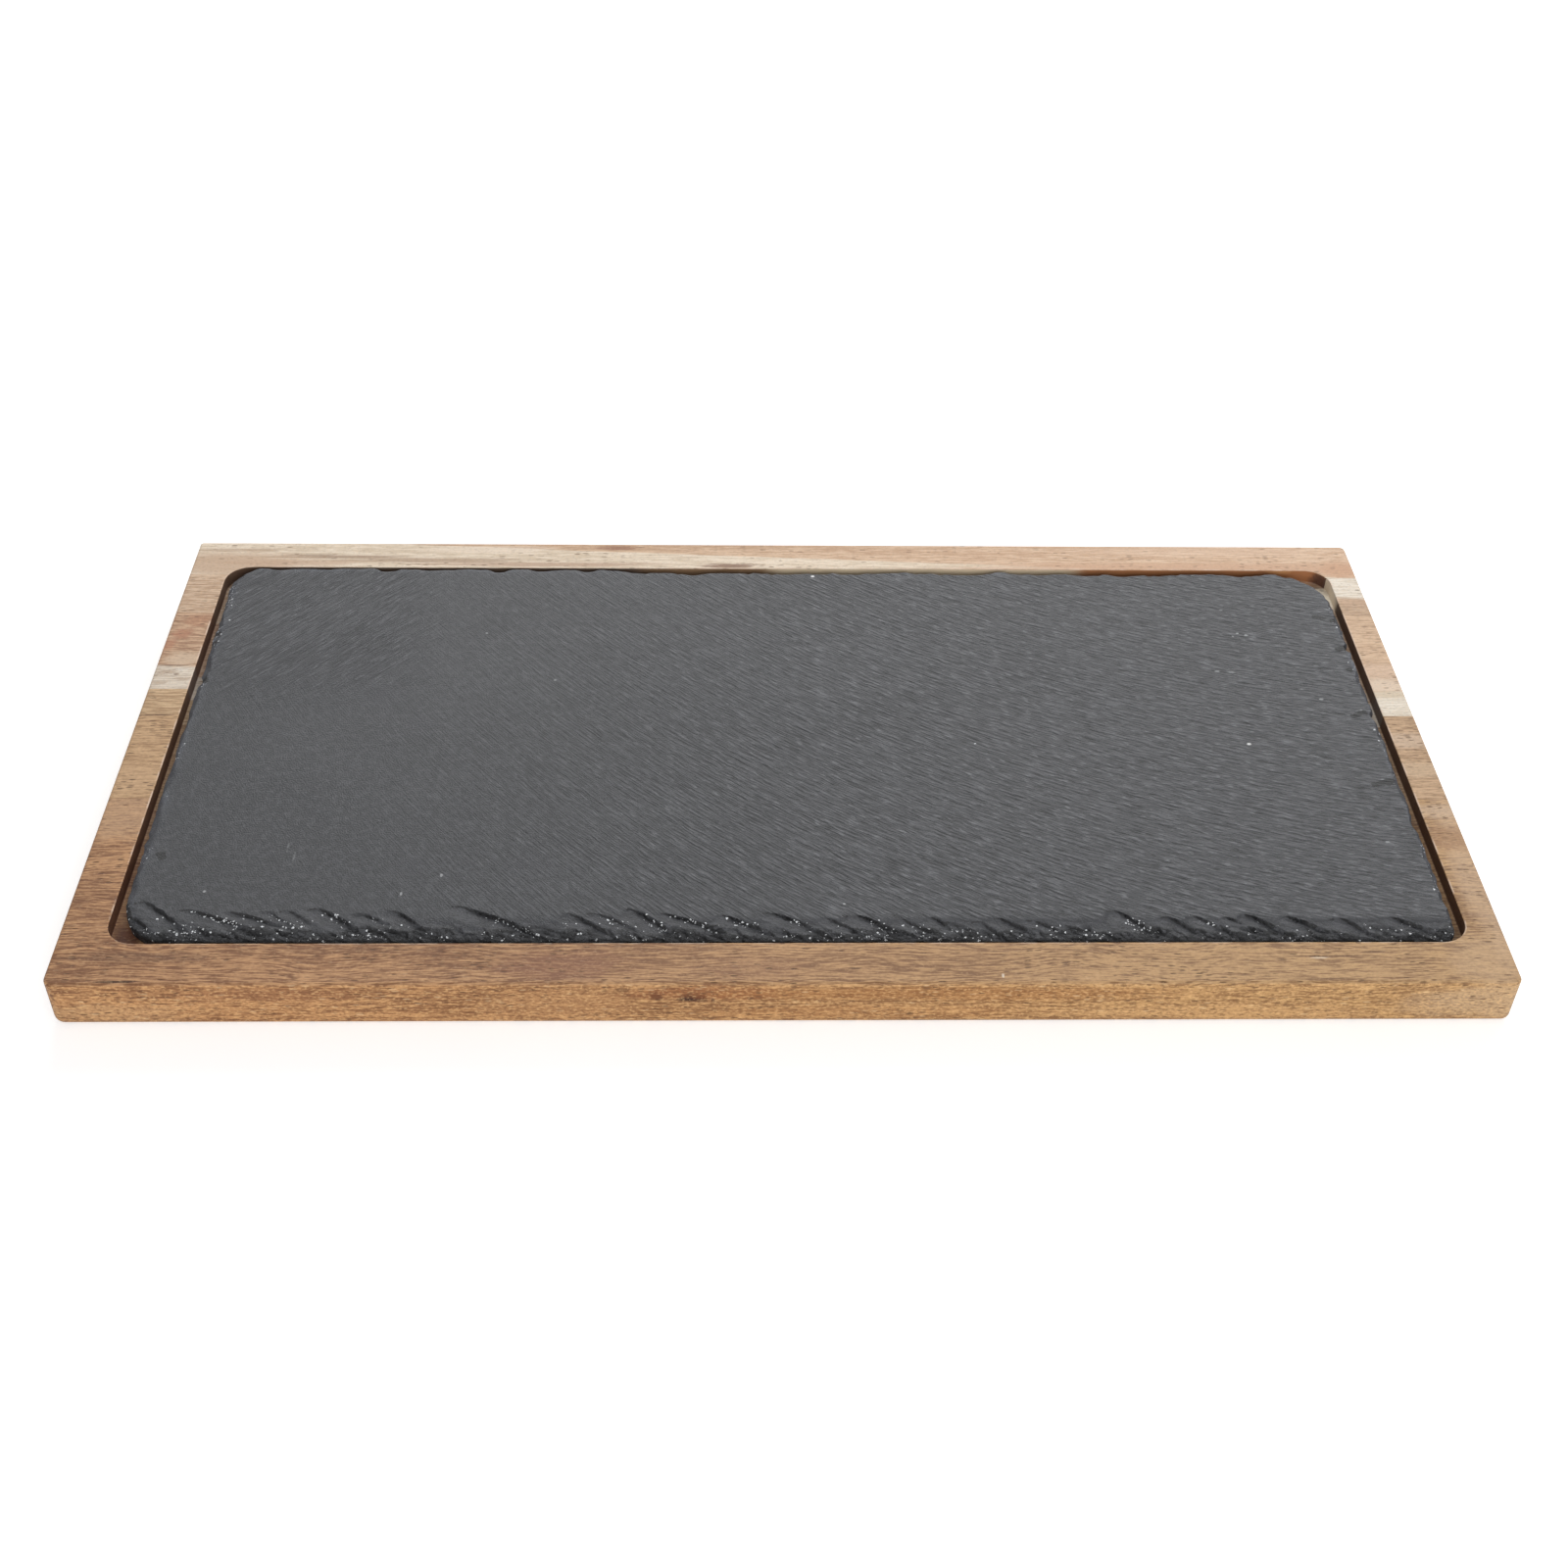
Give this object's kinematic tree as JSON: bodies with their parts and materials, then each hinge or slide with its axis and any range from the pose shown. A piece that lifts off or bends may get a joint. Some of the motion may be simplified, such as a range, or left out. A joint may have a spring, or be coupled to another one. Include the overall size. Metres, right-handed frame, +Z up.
{
  "type": "serving tray",
  "caption": "Rectangular wooden serving tray, edge-glued from staves, with a shallow routed pocket that holds a loose slate slab with chipped edges.",
  "frame": {"origin": "middle of the flat underside", "axes": "+X along the staves, to the right seen from the front; +Y from the front edge to the back; +Z up"},
  "size_m": [0.4, 0.21, 0.0168],
  "materials": {
    "front_stave": "oiled acacia, brown heartwood",
    "middle_front_stave": "oiled acacia, tan heartwood",
    "narrow_stave": "oiled acacia, tan heartwood",
    "middle_back_stave": "oiled acacia, pink heartwood with pale sapwood",
    "sapwood_stave": "oiled acacia, pale with cream sapwood",
    "back_stave": "oiled acacia, pink heartwood with a cream sapwood wedge",
    "slate": "riven slate, matt, hand-chipped edges"
  },
  "bodies": {
    "board": {"front_stave": "front_stave", "middle_front_stave": "middle_front_stave", "narrow_stave": "narrow_stave", "middle_back_stave": "middle_back_stave", "sapwood_stave": "sapwood_stave", "back_stave": "back_stave"},
    "slate": {"slate_slab": "slate"}
  },
  "joints": [
    {"name": "slate_lift", "type": "slide", "parent": "board", "child": "slate", "axis": [0, 0, 1], "range_m": [0, 0.03]}
  ]
}
